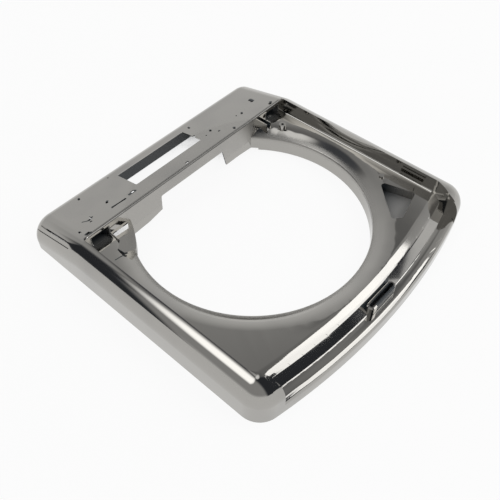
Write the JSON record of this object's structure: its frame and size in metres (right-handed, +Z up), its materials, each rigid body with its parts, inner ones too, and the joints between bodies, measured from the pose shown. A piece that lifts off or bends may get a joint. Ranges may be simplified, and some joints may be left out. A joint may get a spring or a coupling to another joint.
{
  "type": "washing machine top cover",
  "caption": "One-piece moulded top cover for a top-load washing machine: side rails, dished lid well, round tub opening with a hanging collar, sloped rear deck and bowed front apron.",
  "frame": {"origin": "centre of the bounding box at the bottom rim", "axes": "+Z up, -Y to the bowed front, +Y to the rear deck, +X to the right as seen from the front"},
  "size_m": [0.686, 0.686, 0.0949],
  "materials": {
    "cover": "metallic silver-grey coat, high gloss"
  },
  "bodies": {
    "root": {"top_cover": "cover"}
  },
  "joints": []
}
